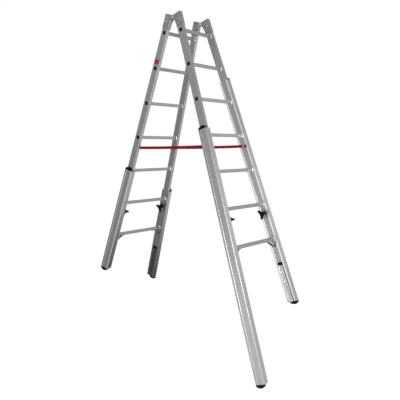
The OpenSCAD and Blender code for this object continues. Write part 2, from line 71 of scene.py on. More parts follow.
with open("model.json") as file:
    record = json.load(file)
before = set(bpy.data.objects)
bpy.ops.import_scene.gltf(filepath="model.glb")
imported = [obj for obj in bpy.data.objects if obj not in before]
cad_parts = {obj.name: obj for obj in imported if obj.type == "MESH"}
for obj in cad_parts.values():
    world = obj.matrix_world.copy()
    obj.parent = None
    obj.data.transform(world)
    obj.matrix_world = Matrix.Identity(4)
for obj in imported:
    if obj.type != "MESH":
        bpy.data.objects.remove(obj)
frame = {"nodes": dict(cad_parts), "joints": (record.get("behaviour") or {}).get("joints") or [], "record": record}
cad_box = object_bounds()

JOINTS = {joint["name"]: joint for joint in frame["joints"]}
SLOTS = {row["node"]: row["material_slot"] for row in frame["record"]["subparts"]}
SIDES = ("short", "long")
HANDS = ("left", "right")
WAY = {"short": -1, "long": 1}
RUNGS = range(1, 1 + sum(name.startswith("long_rung_") and name[-1].isdigit() for name in frame["nodes"]))
PHOTO_SIDE = 400
FULL_TURN = 2 * math.pi
MERGE_GAP = 1e-6
EDGE_STEPS = 6
SHARP_ANGLE = math.radians(50)


# Settings


class LadderStageSettings(bpy.types.PropertyGroup):
    """Camera, lamps, floor and background."""

    camera_place: FloatVectorProperty(
        name="Camera place", description="Where the photographer's lens was", subtype="TRANSLATION",
        unit="LENGTH", default=(2.832962, -3.429873, 1.562844))
    camera_turn: FloatVectorProperty(
        name="Camera turn", description="Yaw to the left, pitch up and roll of the camera", subtype="EULER",
        default=tuple(math.radians(a) for a in (38.81301, -2.44774, 0.71737)))
    focus_pixels: FloatProperty(
        name="Focal length", description="Focal length in pixels of the photograph", default=565.1817)
    middle_pixels: FloatVectorProperty(
        name="Optical middle", description="Pixel of the photograph on the lens's axis", size=2,
        default=(202.8456, 176.7919))
    floor_reach: FloatProperty(
        name="Floor reach", description="Radius of the floor", unit="LENGTH", default=4.5)
    floor_colour: FloatVectorProperty(
        name="Floor colour", description="Paper of the studio floor", subtype="COLOR",
        default=(0.8, 0.8, 0.8))
    floor_glow: FloatProperty(
        name="Floor glow", description="Share of the floor's white that no shadow darkens", subtype="FACTOR",
        default=0.75)
    backdrop: FloatProperty(
        name="Backdrop", description="Brightness of the white backdrop", default=1.0)
    room_light: FloatProperty(
        name="Room light", description="Brightness of the light that comes from all round", default=0.3)
    dim_room: FloatProperty(
        name="Dim room", description="Brightness of the room at the left of the photographer", default=0.04)
    ceiling: FloatProperty(
        name="Ceiling", description="Brightness of the ceiling in reflections", default=0.68)
    dim_way: FloatVectorProperty(
        name="Way to the dim room", description="Direction from the ladder to the middle of the dim room",
        subtype="DIRECTION", default=(-0.874, -0.465, -0.139))
    dim_spread: FloatVectorProperty(
        name="Spread of the dim room", description="Angles from its middle at which it ends and is darkest",
        subtype="EULER", size=2, default=(math.radians(34), math.radians(14)))
    dim_floor: FloatVectorProperty(
        name="Dim floor", unit="LENGTH", size=2, default=(0.6, 1.6),
        description="Distances from the middle of the dim strip of floor where it is darkest and ends")
    dim_start: FloatVectorProperty(
        name="Start of the dim floor", description="Where the strip starts that runs to the dim room",
        subtype="TRANSLATION", unit="LENGTH", default=(-0.2, 0.5, 0.0))
    key_power: FloatProperty(
        name="Key light", description="Power of the large lamp at the right", unit="POWER", default=46.0)
    key_place: FloatVectorProperty(
        name="Key place", description="Middle of the large lamp", subtype="TRANSLATION", unit="LENGTH",
        default=(2.1, -2.0, 1.4))
    key_side: FloatProperty(
        name="Key size", description="Side of the large lamp", unit="LENGTH", default=1.0)
    fill_power: FloatProperty(
        name="Fill light", description="Power of the low lamp before the ladder", unit="POWER", default=5.0)
    fill_place: FloatVectorProperty(
        name="Fill place", description="Middle of the low lamp", subtype="TRANSLATION", unit="LENGTH",
        default=(-0.2, -2.6, 0.7))
    fill_side: FloatProperty(
        name="Fill size", description="Side of the low lamp", unit="LENGTH", default=1.0)
    rim_power: FloatProperty(
        name="Rim light", description="Power of the lamp behind the ladder at the right", unit="POWER",
        default=3.5)
    rim_place: FloatVectorProperty(
        name="Rim place", description="Middle of the lamp behind the ladder", subtype="TRANSLATION",
        unit="LENGTH", default=(2.1, 2.6, 2.0))
    rim_side: FloatProperty(
        name="Rim size", description="Side of the lamp behind the ladder", unit="LENGTH", default=1.2)


class LadderFinishSettings(bpy.types.PropertyGroup):
    """Colours of the ladder's finishes."""

    stile_colour: FloatVectorProperty(
        name="Stiles", description="Mill-finish aluminium of the stiles", subtype="COLOR",
        default=(0.39, 0.39, 0.39))
    rung_colour: FloatVectorProperty(
        name="Rungs", description="Drawn aluminium of the rungs and braces", subtype="COLOR",
        default=(0.322, 0.322, 0.318))
    # partly painted highlight: the beads are given about twice the rungs' brightness
    bead_colour: FloatVectorProperty(
        name="Beads", description="Pressed aluminium at the rungs' ends", subtype="COLOR",
        default=(0.68, 0.68, 0.68))
    sleeve_colour: FloatVectorProperty(
        name="Sleeves", description="Drawn aluminium of the leg sleeves", subtype="COLOR",
        default=(0.42, 0.42, 0.42))
    # painted light and shade: the inside of the channels is painted brighter in the long sleeves and darker in the
    # short ones
    channel_painted_light: FloatVectorProperty(
        name="Channels", description="Brightness of the channels in the short and in the long sleeves",
        size=2, default=(0.8, 2.1))
    plate_colour: FloatVectorProperty(
        name="Hinge plates", description="Grey plated sheet steel", subtype="COLOR",
        default=(0.315, 0.325, 0.318))
    steel_colour: FloatVectorProperty(
        name="Steel", description="Bright zinc on rivets, bolts and nuts", subtype="COLOR",
        default=(0.72, 0.72, 0.73))
    plastic_colour: FloatVectorProperty(
        name="Plastic", description="Black moulded plastic", subtype="COLOR", default=(0.0045, 0.0045, 0.005))
    rubber_colour: FloatVectorProperty(
        name="Rubber", description="Black rubber of the feet", subtype="COLOR", default=(0.006, 0.006, 0.006))
    webbing_colour: FloatVectorProperty(
        name="Webbing", description="Red polyester yarn of the straps", subtype="COLOR",
        default=(0.31, 0.006, 0.016))
    patch_colour: FloatVectorProperty(
        name="Patch", description="Plain red patch on one stile", subtype="COLOR",
        default=(0.45, 0.035, 0.02))


class LadderShapeSettings(bpy.types.PropertyGroup):
    """Sizes of the pieces that are modelled here."""

    knob_reach: FloatProperty(
        name="Knob reach", description="Reach of a knob's arms", unit="LENGTH", default=0.042)
    knob_arm: FloatProperty(
        name="Knob arm", description="Width of a knob's arms near their tips", unit="LENGTH", default=0.016)
    knob_hub: FloatProperty(
        name="Knob hub", description="Radius of a knob's hub", unit="LENGTH", default=0.0185)
    knob_edge: FloatProperty(
        name="Knob edge", description="Rounding of a knob's edges", unit="LENGTH", default=0.0055)
    knob_neck: FloatProperty(
        name="Knob neck", description="Radius of the neck under a knob", unit="LENGTH", default=0.0112)
    moulding_corner: FloatProperty(
        name="Moulding corner", description="Outer corner radius of the feet and plugs", unit="LENGTH",
        default=0.008)
    moulding_edge: FloatProperty(
        name="Moulding edge", description="Rounding of the feet's and plugs' edges", unit="LENGTH",
        default=0.0032)
    moulding_side: FloatProperty(
        name="Moulding side", description="Height of a foot's sides at its two ends", unit="LENGTH",
        default=0.007)
    strap_sag: FloatProperty(
        name="Strap sag", description="Sag of a strap's middle", unit="LENGTH", default=0.004)
    strap_bow: FloatProperty(
        name="Strap bow", description="Bow of a strap's middle away from the stiles", unit="LENGTH",
        default=0.005)
    strap_fold: FloatProperty(
        name="Strap fold", description="Length of a strap's doubled and sewn end", unit="LENGTH",
        default=0.085)
    bead_thick: FloatProperty(
        name="Bead", description="Radius of the bead between a rung and a stile", unit="LENGTH",
        default=0.0052)
    rivet_radius: FloatProperty(
        name="Rivet head", description="Radius of a rivet's domed head", unit="LENGTH", default=0.0065)
    rivet_rise: FloatProperty(
        name="Rivet rise", description="Rise of a rivet's domed head", unit="LENGTH", default=0.0034)
    rivet_bore: FloatProperty(
        name="Rivet bore", description="Radius of the bore in a hollow rivet", unit="LENGTH", default=0.0036)
    cap_side: FloatProperty(
        name="Rung cap", description="Side of the black cap in a rung's end", unit="LENGTH", default=0.0275)
    cap_corner: FloatProperty(
        name="Cap corner", description="Corner radius of a rung's cap", unit="LENGTH", default=0.004)
    patch_span: FloatVectorProperty(
        name="Patch", description="Width of the red patch, and its top and bottom under the hinge",
        unit="LENGTH", default=(0.052, 0.339, 0.375))


# Frames of the legs


def corners(node):
    """The vertices of a CAD node as an array."""
    mesh = frame["nodes"][node].data
    flat = np.empty(3 * len(mesh.vertices), np.float32)
    mesh.vertices.foreach_get("co", flat)
    return flat.reshape(-1, 3).astype(float)


class Leg:
    """One stile with its sleeve. Its axes come from its joints: out of the ladder, out of the
    stile's outer face and up along it, from the clamp's axis on that outer face."""

    def __init__(self, side, hand):
        self.side, self.name = side, f"{side}_{hand}"
        knob = JOINTS[f"{self.name}_knob_turn"]
        self.face = -np.array(knob["axis"], float)
        self.up = -np.array(JOINTS[f"{self.name}_slide"]["axis"], float)
        out = np.cross(self.face, self.up)
        self.out = out * WAY[side] * np.sign(out[0])
        self.axes = np.stack([self.out, self.face, self.up])
        self.mirrored = np.linalg.det(self.axes) < 0
        self.place = np.zeros(3)
        on_axis = self.axes @ np.array(knob["pos_m"], float)
        on_axis[1] = self.span("stile")[1][1]
        self.place = on_axis @ self.axes
        self.along = self.axes @ np.array([0.0, 1.0, 0.0])
        self.hinge = self.on_face(np.array(JOINTS["fold"]["pos_m"], float))[2]
        aside, _, upright = self.axes[:, 2]
        self.tilt = np.array([[upright, -aside], [aside, upright]]) / math.hypot(aside, upright)

    def local(self, points):
        """Points of the frame in the leg's own axes."""
        return (points - self.place) @ self.axes.T

    def world(self, points):
        """Points of the leg's own axes in the frame."""
        return self.place + points @ self.axes

    def rows(self, points):
        """Points of the leg's own axes in the frame, in the reverse order round each ring unless the leg is
        a mirrored one, so that rows that climb out of the stile's outer face make faces that point
        outwards."""
        return self.world(points if self.mirrored else points[..., ::-1, :])

    def on_face(self, points):
        """Points of the frame, moved along Y to the stile's outer face and given in the leg's own axes."""
        local = self.local(points)
        return local - self.along * local[..., 1:2] / self.along[1]

    def level(self, outline):
        """An outline on the stile's face, turned so that its own upright runs straight up in the frame."""
        return outline @ self.tilt

    def rung_ends(self):
        """Where the rungs' axes cross the stile's outer face."""
        return self.on_face(np.array([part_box(f"{self.side}_rung_{i}") for i in RUNGS]).mean(axis=1))

    def span(self, part):
        """Lowest and highest corner of one of the leg's nodes, in the leg's own axes."""
        points = self.local(corners(f"{self.name}_{part}"))
        return points.min(0), points.max(0)


LEGS = [Leg(side, hand) for side in SIDES for hand in HANDS]


# Surfaces


def surface(name, points, finish, flip=False, uv=None):
    """A mesh of closed tubes: points is (copies, rows, columns, 3), joined round its columns, and a first or last
    row that lies in one point closes the tube. flip turns its faces round."""
    copies, rows, columns, _ = points.shape
    here = np.arange(copies * rows * columns).reshape(copies, rows, columns)
    beside = np.roll(here, -1, axis=2)
    quads = np.stack([here[:, :-1], beside[:, :-1], beside[:, 1:], here[:, 1:]], axis=-1).reshape(-1, 4)
    if flip:
        quads = quads[:, ::-1]
    mesh = bpy.data.meshes.new(name)
    mesh.from_pydata(points.reshape(-1, 3).tolist(), [], quads.tolist())
    if uv is not None:
        layer = mesh.uv_layers.new(name="along_and_round")
        layer.data.foreach_set("uv", uv.reshape(-1, 2)[quads.reshape(-1)].astype(np.float32).reshape(-1))
    shell = bmesh.new()
    shell.from_mesh(mesh)
    bmesh.ops.remove_doubles(shell, verts=shell.verts, dist=MERGE_GAP)
    bmesh.ops.dissolve_degenerate(shell, edges=shell.edges, dist=MERGE_GAP)
    shell.to_mesh(mesh)
    shell.free()
    mesh.polygons.foreach_set("use_smooth", np.ones(len(mesh.polygons), bool))
    mesh.set_sharp_from_angle(angle=SHARP_ANGLE)
    mesh.materials.append(finish)
    piece = bpy.data.objects.new(name, mesh)
    bpy.context.scene.collection.objects.link(piece)
    return piece


def evenly(outline, count):
    """A closed outline of (points, 2), sampled again at equal steps of its length."""
    loop = np.vstack([outline, outline[:1]])
    length = np.concatenate([[0], np.cumsum(np.linalg.norm(np.diff(loop, axis=0), axis=1))])
    steps = np.linspace(0, length[-1], count, endpoint=False)
    return np.stack([np.interp(steps, length, loop[:, k]) for k in (0, 1)], axis=1)


def outward(outline):
    """Unit normals of an outline that runs against the clock."""
    along = np.roll(outline, -1, axis=0) - np.roll(outline, 1, axis=0)
    along /= np.linalg.norm(along, axis=1, keepdims=True)
    return np.stack([along[:, 1], -along[:, 0]], axis=1)


def rounded_box(low, high, radii, count):
    """A box outline with a quarter circle of its own radius at each corner, against the clock from
    the lower right one: the arc's middle is set in by its radius from both sides."""
    arc_points = 9
    turn = np.linspace(0, math.pi / 2, arc_points)
    arcs = []
    for quarter, (x, y, radius) in enumerate(
            ((high[0], low[1], radii[0]), (high[0], high[1], radii[1]),
             (low[0], high[1], radii[2]), (low[0], low[1], radii[3]))):
        middle = np.array([x, y]) + radius * np.sign((np.array(low) + high) / 2 - (x, y))
        angle = turn + (quarter - 1) * math.pi / 2
        arcs.append(middle + radius * np.stack([np.cos(angle), np.sin(angle)], axis=1))
    return evenly(np.vstack(arcs), count)


def star(reach, arm, hub, count, arms=3, blend=3.5):
    """A star knob's outline: along an arm, the radius is that of a bar with a round tip, and a sum of
    powers joins the bars to the hub in a hollow curve. The whole is then brought to the reach."""
    samples, least_sine = 3600, 1e-6
    angle = np.linspace(0, FULL_TURN, samples, endpoint=False)
    step = FULL_TURN / arms
    off = np.abs((angle + step / 2) % step - step / 2)
    end = reach - arm / 2
    beside = arm / 2 / np.maximum(np.sin(off), least_sine)
    tip = end * np.cos(off) + np.sqrt(np.maximum((arm / 2) ** 2 - (end * np.sin(off)) ** 2, 0))
    bar = np.where(beside * np.cos(off) <= end, beside, tip)
    radius = (bar ** blend + hub ** blend) ** (1 / blend)
    radius *= reach / radius.max()
    return evenly(np.stack([radius * np.cos(angle), radius * np.sin(angle)], axis=1), count)


def lathe(radii, heights, columns):
    """A profile turned about Z: row k is a circle of radii[k] at heights[k]."""
    angle = np.linspace(0, FULL_TURN, columns, endpoint=False)
    radii, heights = np.array(radii)[:, None], np.array(heights)[:, None]
    return np.stack([radii * np.cos(angle), radii * np.sin(angle), heights + 0 * angle], axis=-1)


def pads(middles, outline, rows):
    """Low pads on a stile's face: each row is the outline, shrunk by its share and set in along its
    normal, at its own height. Gives (pads, rows, columns, 3)."""
    normal = outward(outline)
    rings = np.stack([share * (outline - inset * normal) for share, inset, _ in rows])
    heights = np.array([height for _, _, height in rows])[:, None] + 0 * rings[..., 0]
    local = np.stack([rings[..., 0], heights, rings[..., 1]], axis=-1)
    return np.asarray(middles)[:, None, None] + local


def quarter(rows):
    """Sine and cosine of a quarter turn in equal steps."""
    angle = np.linspace(0, math.pi / 2, rows)
    return np.sin(angle), np.cos(angle)


# Shader maths


class Value:
    """An output of a node tree. Python's operators on it add Math nodes."""

    def __init__(self, graph, socket):
        self.graph, self.socket = graph, socket

    def maths(self, operation, *values):
        return self.graph.node("ShaderNodeMath", {"operation": operation}, dict(enumerate(values)))

    def __add__(self, other):
        return self.maths("ADD", self, other)

    def __sub__(self, other):
        return self.maths("SUBTRACT", self, other)

    def __rsub__(self, other):
        return self.maths("SUBTRACT", other, self)

    def __mul__(self, other):
        return self.maths("MULTIPLY", self, other)

    __radd__ = __add__
    __rmul__ = __mul__

    def highest(self, other):
        return self.maths("MAXIMUM", self, other)

    def sine(self):
        return self.maths("SINE", self)

    def size(self):
        return self.maths("ABSOLUTE", self)


class Graph:
    """Adds nodes to one node tree."""

    def __init__(self, tree):
        self.tree = tree
        tree.nodes.clear()

    def node(self, kind, settings=None, sockets=None, out=0):
        """A new node. Its settings are set first, and then the values or links of its sockets. Gives the
        named or numbered output."""
        made = self.tree.nodes.new(kind)
        for name, value in (settings or {}).items():
            setattr(made, name, value)
        for name, value in (sockets or {}).items():
            if isinstance(value, Value):
                self.tree.links.new(value.socket, made.inputs[name])
            else:
                made.inputs[name].default_value = value
        return Value(self, made.outputs[out] if made.outputs else None)

    def mix(self, factor, first, second):
        """A colour between two colours."""
        return self.node("ShaderNodeMix", {"data_type": "RGBA"}, {0: factor, 6: first, 7: second}, 2)

    def dot(self, vector, axis):
        """How far a vector reaches along an axis."""
        return self.node("ShaderNodeVectorMath", {"operation": "DOT_PRODUCT"}, {0: vector, 1: axis}, "Value")

    def vector(self, x, y, z):
        return self.node("ShaderNodeCombineXYZ", {}, {0: x, 1: y, 2: z})

    def noise(self, vector, scale, detail, rough=0.5):
        """Cloudy values around a half."""
        return self.node("ShaderNodeTexNoise", {},
                         {"Vector": vector, "Scale": scale, "Detail": detail, "Roughness": rough})

    def ease(self, value, low, high):
        """0 up to low, 1 from high, and a smooth rise between."""
        return self.node("ShaderNodeMapRange", {"interpolation_type": "SMOOTHSTEP"},
                         {"Value": value, "From Min": low, "From Max": high})

    def bump(self, height, distance, strength):
        return self.node("ShaderNodeBump", {}, {"Strength": strength, "Distance": distance, "Height": height})

    def place(self):
        """Object coordinates, which are the frame's own."""
        return self.node("ShaderNodeTexCoord", out="Object")


def opaque(colour, share=1.0):
    """A colour of three numbers, made lighter or darker, with full alpha."""
    return (*(share * c for c in colour), 1.0)


def new_finish(name, sockets_of):
    """A material whose shader takes the sockets that sockets_of(graph) gives."""
    material = bpy.data.materials.new(name)
    material.use_nodes = True
    graph = Graph(material.node_tree)
    shader = graph.node("ShaderNodeBsdfPrincipled", {}, sockets_of(graph))
    graph.node("ShaderNodeOutputMaterial", {}, {"Surface": shader})
    return material


def once(build):
    """Keeps what a finish function makes, so that each finish is made once."""
    made = {}

    def keep(*names):
        if names not in made:
            made[names] = build(*names)
        return made[names]

    return keep


# Finishes


def drawn_metal(name, colour, axes, place=(0, 0, 0), mouth=None):
    """Drawn aluminium: die lines along the extrusion, cloudy handling marks and a few short scuffs. The inside of
    a channel, within its mouth's half width and depth, gets a brightness of its own, which is painted light where
    it is brighter and painted shade where it is darker."""

    def sockets(graph):
        spot = graph.place()
        across, over, along = (graph.dot(spot, tuple(axis)) for axis in axes)
        lines = graph.noise(graph.vector(across * 420, over * 420, along * 1.3), 1.0, detail=3.0, rough=0.6)
        hair = graph.noise(graph.vector(across * 1900, over * 1900, along * 5), 1.0, detail=2.0, rough=0.7)
        clouds = graph.noise(spot, 4.5, detail=4.0, rough=0.6)
        marks = graph.noise(graph.vector(across * 60, over * 60, along * 22), 1.0, detail=5.0, rough=0.75)
        scuffs = graph.ease(marks, 0.64, 0.74)
        tone = lines * 0.45 + hair * 0.2 + clouds * 0.35
        wear_and_painted_light = graph.mix(scuffs * 0.35, graph.mix(tone, opaque(colour, 0.8), opaque(colour, 1.2)),
                         opaque(colour, 1.45))
        # painted light and shade: inside the channel's mouth the colour is set to a brightness of its own,
        # brighter in the long sleeves and darker in the short ones
        if mouth:
            half, depth, painted_channel_light = mouth
            fade = 0.0004
            middle, floor = (float(np.dot(axis, place)) for axis in axes[:2])
            between = 1 - graph.ease((across - middle).size(), half - fade, half)
            below = 1 - graph.ease(over - floor, depth, depth + fade)
            wear_and_painted_light = graph.mix(between * below, wear_and_painted_light, opaque(colour, painted_channel_light))
        return {
            "Base Color": wear_and_painted_light,
            "Metallic": 0.75,
            "Roughness": 0.28 + lines * 0.12 + clouds * 0.1 - scuffs * 0.08,
            "Normal": graph.bump(lines * 0.6 + hair * 0.4, distance=0.0004, strength=0.2),
        }

    return new_finish(name, sockets)


@once
def stile_finish(leg):
    """Drawn aluminium whose die lines run along a stile."""
    return drawn_metal(f"stile_aluminium_{leg.name}", bpy.context.scene.ladder_finish.stile_colour, leg.axes)


@once
def sleeve_finish(leg):
    """Drawn aluminium along a sleeve. Its channel's mouth is wider than the stile by a guide on each side, and its
    inside has a painted brightness that the setting for its section gives: painted light in the long sleeves and
    painted shade in the short ones."""
    finish = bpy.context.scene.ladder_finish
    guide, depth = 0.0062, 0.0008
    # painted light and shade for the inside of this sleeve's channel
    painted_channel_light = finish.channel_painted_light[SIDES.index(leg.side)]
    return drawn_metal(f"sleeve_aluminium_{leg.name}", finish.sleeve_colour, leg.axes, leg.place,
                       (leg.span("stile")[1][0] + guide, depth, painted_channel_light))


@once
def rung_finish():
    """Drawn aluminium whose die lines run along the rungs."""
    along_y = np.roll(np.eye(3), 1, axis=0)
    return drawn_metal("rung_aluminium", bpy.context.scene.ladder_finish.rung_colour, along_y)


@once
def bead_finish():
    """Aluminium at the rungs' ends, brighter than the rungs: partly the pressed metal's own brightness and partly
    a painted highlight, with fine marks of the press.
    """
    colour = bpy.context.scene.ladder_finish.bead_colour

    def sockets(graph):
        marks = graph.noise(graph.place(), 480, detail=3.0, rough=0.6)
        return {
            "Base Color": graph.mix(marks, opaque(colour, 0.85), opaque(colour, 1.15)),
            "Metallic": 0.7,
            "Roughness": 0.26 + marks * 0.16,
            "Normal": graph.bump(marks, distance=0.0002, strength=0.25),
        }

    return new_finish("bead_aluminium", sockets)


@once
def plate_finish():
    """Grey plated steel with a faint zinc bloom and fine scratches."""
    colour = bpy.context.scene.ladder_finish.plate_colour

    def sockets(graph):
        place = graph.place()
        bloom = graph.noise(place, 55, detail=5.0, rough=0.65)
        slanted = graph.vector(*(graph.dot(place, axis) for axis in ((900, 0, 300), (0, 60, 0), (40, 0, 60))))
        scratch = graph.ease(graph.noise(slanted, 1.0, detail=3.0), 0.66, 0.74)
        plain = graph.mix(bloom, opaque(colour, 0.82), opaque(colour, 1.18))
        return {
            "Base Color": graph.mix(scratch * 0.3, plain, opaque(colour, 1.6)),
            "Metallic": 0.6,
            "Roughness": 0.34 + bloom * 0.14,
            "Normal": graph.bump(bloom, distance=0.0002, strength=0.2),
        }

    return new_finish("hinge_plate_grey", sockets)


@once
def steel_finish():
    """Bright zinc with a faint brushed tone."""
    colour = bpy.context.scene.ladder_finish.steel_colour

    def sockets(graph):
        tone = graph.noise(graph.place(), 700, detail=3.0)
        return {
            "Base Color": graph.mix(tone, opaque(colour, 0.82), opaque(colour, 1.12)),
            "Metallic": 0.95,
            "Roughness": 0.2 + tone * 0.16,
            "Normal": graph.bump(tone, distance=0.0001, strength=0.2),
        }

    return new_finish("bright_steel", sockets)


@once
def bore_shade_finish():
    """Near-black in the bore of a hollow rivet: painted shade in the hollow, with a dull bloom."""

    def sockets(graph):
        bloom = graph.noise(graph.place(), 900, detail=3.0)
        # painted shade: the bore is near-black where shade falls in the hollow
        return {
            "Base Color": graph.mix(bloom, (0.012, 0.012, 0.012, 1.0), (0.035, 0.035, 0.035, 1.0)),
            "Roughness": 0.6 + bloom * 0.2,
            "Specular IOR Level": 0.15,
        }

    return new_finish("rivet_bore", sockets)


def moulded_black(name, colour, roughness, grain, dust):
    """Moulded black with a fine grain, and pale dust where it has been touched least."""

    def sockets(graph):
        place = graph.place()
        fine = graph.noise(place, grain, detail=2.0, rough=0.6)
        clouds = graph.noise(place, 26, detail=4.0, rough=0.6)
        dusty = graph.ease(clouds * 0.75 + fine * 0.25, 0.5, 0.8)
        return {
            "Base Color": graph.mix(dusty * dust, opaque(colour), opaque(colour, 4)),
            "Roughness": roughness + dusty * 0.15 + fine * 0.08,
            "Specular IOR Level": 0.12,
            "Normal": graph.bump(fine, distance=0.0003, strength=0.35),
        }

    return new_finish(name, sockets)


@once
def plastic_finish():
    """Black plastic of the knobs, plugs and caps."""
    return moulded_black("black_plastic", bpy.context.scene.ladder_finish.plastic_colour,
                         roughness=0.36, grain=1400, dust=0.5)


@once
def rubber_finish():
    """Duller and dustier black of the feet."""
    return moulded_black("foot_rubber", bpy.context.scene.ladder_finish.rubber_colour,
                         roughness=0.5, grain=900, dust=0.8)


@once
def webbing_finish():
    """Twill webbing: yarns that cross in slanting ribs, with painted shade in the gaps between them, and firm
    selvedges.
    """
    colour = bpy.context.scene.ladder_finish.webbing_colour

    def sockets(graph):
        uv = graph.node("ShaderNodeUVMap", {"uv_map": "along_and_round"})
        along, round_it = (graph.dot(uv, axis) for axis in ((1, 0, 0), (0, 1, 0)))
        twill = (along * 2100 + round_it * 1500).sine() * 0.5 + 0.5
        yarns = (round_it * 5200).sine() * 0.5 + 0.5
        height = twill * 0.65 + yarns * 0.35
        fade = graph.noise(graph.vector(along * 9, round_it * 40, 0.0), 1.0, detail=4.0)
        # painted shade: the colour darkens with the weave's relief, in the gaps between the yarns; the cloudy fade
        # is the yarn's own tone
        tone = height * 0.6 + fade * 0.4
        return {
            "Base Color": graph.mix(tone, opaque(colour, 0.6), opaque(colour, 1.35)),
            "Roughness": 0.62 + fade * 0.2,
            "Specular IOR Level": 0.15,
            "Normal": graph.bump(height, distance=0.0005, strength=0.6),
        }

    return new_finish("red_webbing", sockets)


@once
def thread_finish():
    """Sewing thread, a little lighter than the webbing."""
    colour = bpy.context.scene.ladder_finish.webbing_colour

    def sockets(graph):
        twist = graph.noise(graph.place(), 1800, detail=2.0)
        return {"Base Color": graph.mix(twist, opaque(colour, 0.9), opaque(colour, 1.7)), "Roughness": 0.6}

    return new_finish("strap_thread", sockets)


@once
def patch_finish():
    """Printed film: plain red, a little faded and scuffed."""
    colour = bpy.context.scene.ladder_finish.patch_colour

    def sockets(graph):
        place = graph.place()
        fade = graph.noise(place, 30, detail=4.0)
        specks = graph.ease(graph.noise(place, 260, detail=3.0, rough=0.7), 0.62, 0.72)
        plain = graph.mix(fade, opaque(colour, 0.8), opaque(colour, 1.2))
        return {
            "Base Color": graph.mix(specks * 0.3, plain, (0.5, 0.5, 0.5, 1.0)),
            "Roughness": 0.42 + fade * 0.15,
        }

    return new_finish("red_patch", sockets)


def finish_of(node):
    """The finish of a CAD node, from its slot in the record and from the leg that it belongs to."""
    slot = SLOTS[node]
    if slot in ("stile_aluminium", "sleeve_aluminium"):
        leg = next(leg for leg in LEGS if node.startswith(leg.name))
        return (stile_finish if slot == "stile_aluminium" else sleeve_finish)(leg)
    return {
        "rung_aluminium": rung_finish, "hinge_plate_grey": plate_finish, "bright_steel": steel_finish,
        "black_plastic": plastic_finish, "foot_rubber": rubber_finish, "red_webbing": webbing_finish,
    }[slot]()


# Operators


class LADDER_OT_metal(bpy.types.Operator):
    """Gives each solid of the frame its finish"""

    bl_idname = "ladder.metal"
    bl_label = "Frame finishes"

    def execute(self, context):
        for name, node in frame["nodes"].items():
            node.data.materials.clear()
            node.data.materials.append(finish_of(name))
        return {"FINISHED"}


class LADDER_OT_knobs(bpy.types.Operator):
    """Models the three-armed clamp knobs with their necks"""

    bl_idname = "ladder.knobs"
    bl_label = "Clamp knobs"

    def execute(self, context):
        shape = context.scene.ladder_shape
        for leg in LEGS:
            low, high = leg.span("knob")
            tip = leg.local(corners(f"{leg.name}_knob"))
            farthest = tip[np.argmax(np.hypot(tip[:, 0], tip[:, 2]))]
            piece = surface(f"{leg.name}_clamp_knob", self.knob(leg, shape, low[1], high[1], farthest),
                            plastic_finish(), flip=leg.mirrored)
            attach(piece, f"{leg.name}_clamp")
            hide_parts(f"{leg.name}_knob")
        return {"FINISHED"}

    def knob(self, leg, shape, crown, seat, tip):
        """Rings of the star's outline: each row sets it in, or shrinks it to the hub, at its own depth
        from the stile's face. The neck's rows are circles that flare to the star's seat, and the crown
        rises to a low dome."""
        outline = star(shape.knob_reach, shape.knob_arm, shape.knob_hub, count=132)
        turn = math.atan2(tip[2], tip[0])
        turned = outline @ np.array([[math.cos(turn), math.sin(turn)], [-math.sin(turn), math.cos(turn)]])
        normal = outward(turned)
        rise, run = quarter(EDGE_STEPS)
        edge = shape.knob_edge
        circle = turned / np.linalg.norm(turned, axis=1, keepdims=True)
        gap, flare, flare_share, underside = 0.0006, 0.002, 1.15, 0.62
        neck = shape.knob_neck * circle
        neck_end = leg.span("stile")[0][1] - gap
        dome = 0.003
        top = crown + dome
        rows = [(0 * neck, neck_end), (neck, neck_end), (neck, seat + flare), (flare_share * neck, seat)]
        inset = turned - edge * normal
        rows += [(underside * inset, seat), (inset, seat)]
        rows += [(turned - edge * (1 - s) * normal, seat - edge * (1 - c)) for s, c in zip(rise[1:], run[1:])]
        rows += [(turned - edge * (1 - c) * normal, top + edge * (1 - s)) for s, c in zip(rise, run)]
        rows += [(share * inset, top - dome * math.sqrt(1 - share ** 2))
                 for share in (0.8, 0.6, 0.4, 0.2, 0.0)]
        points = [np.stack([ring[:, 0], np.full(len(ring), y), ring[:, 1]], axis=1) for ring, y in rows]
        return leg.world(np.stack(points))[None]


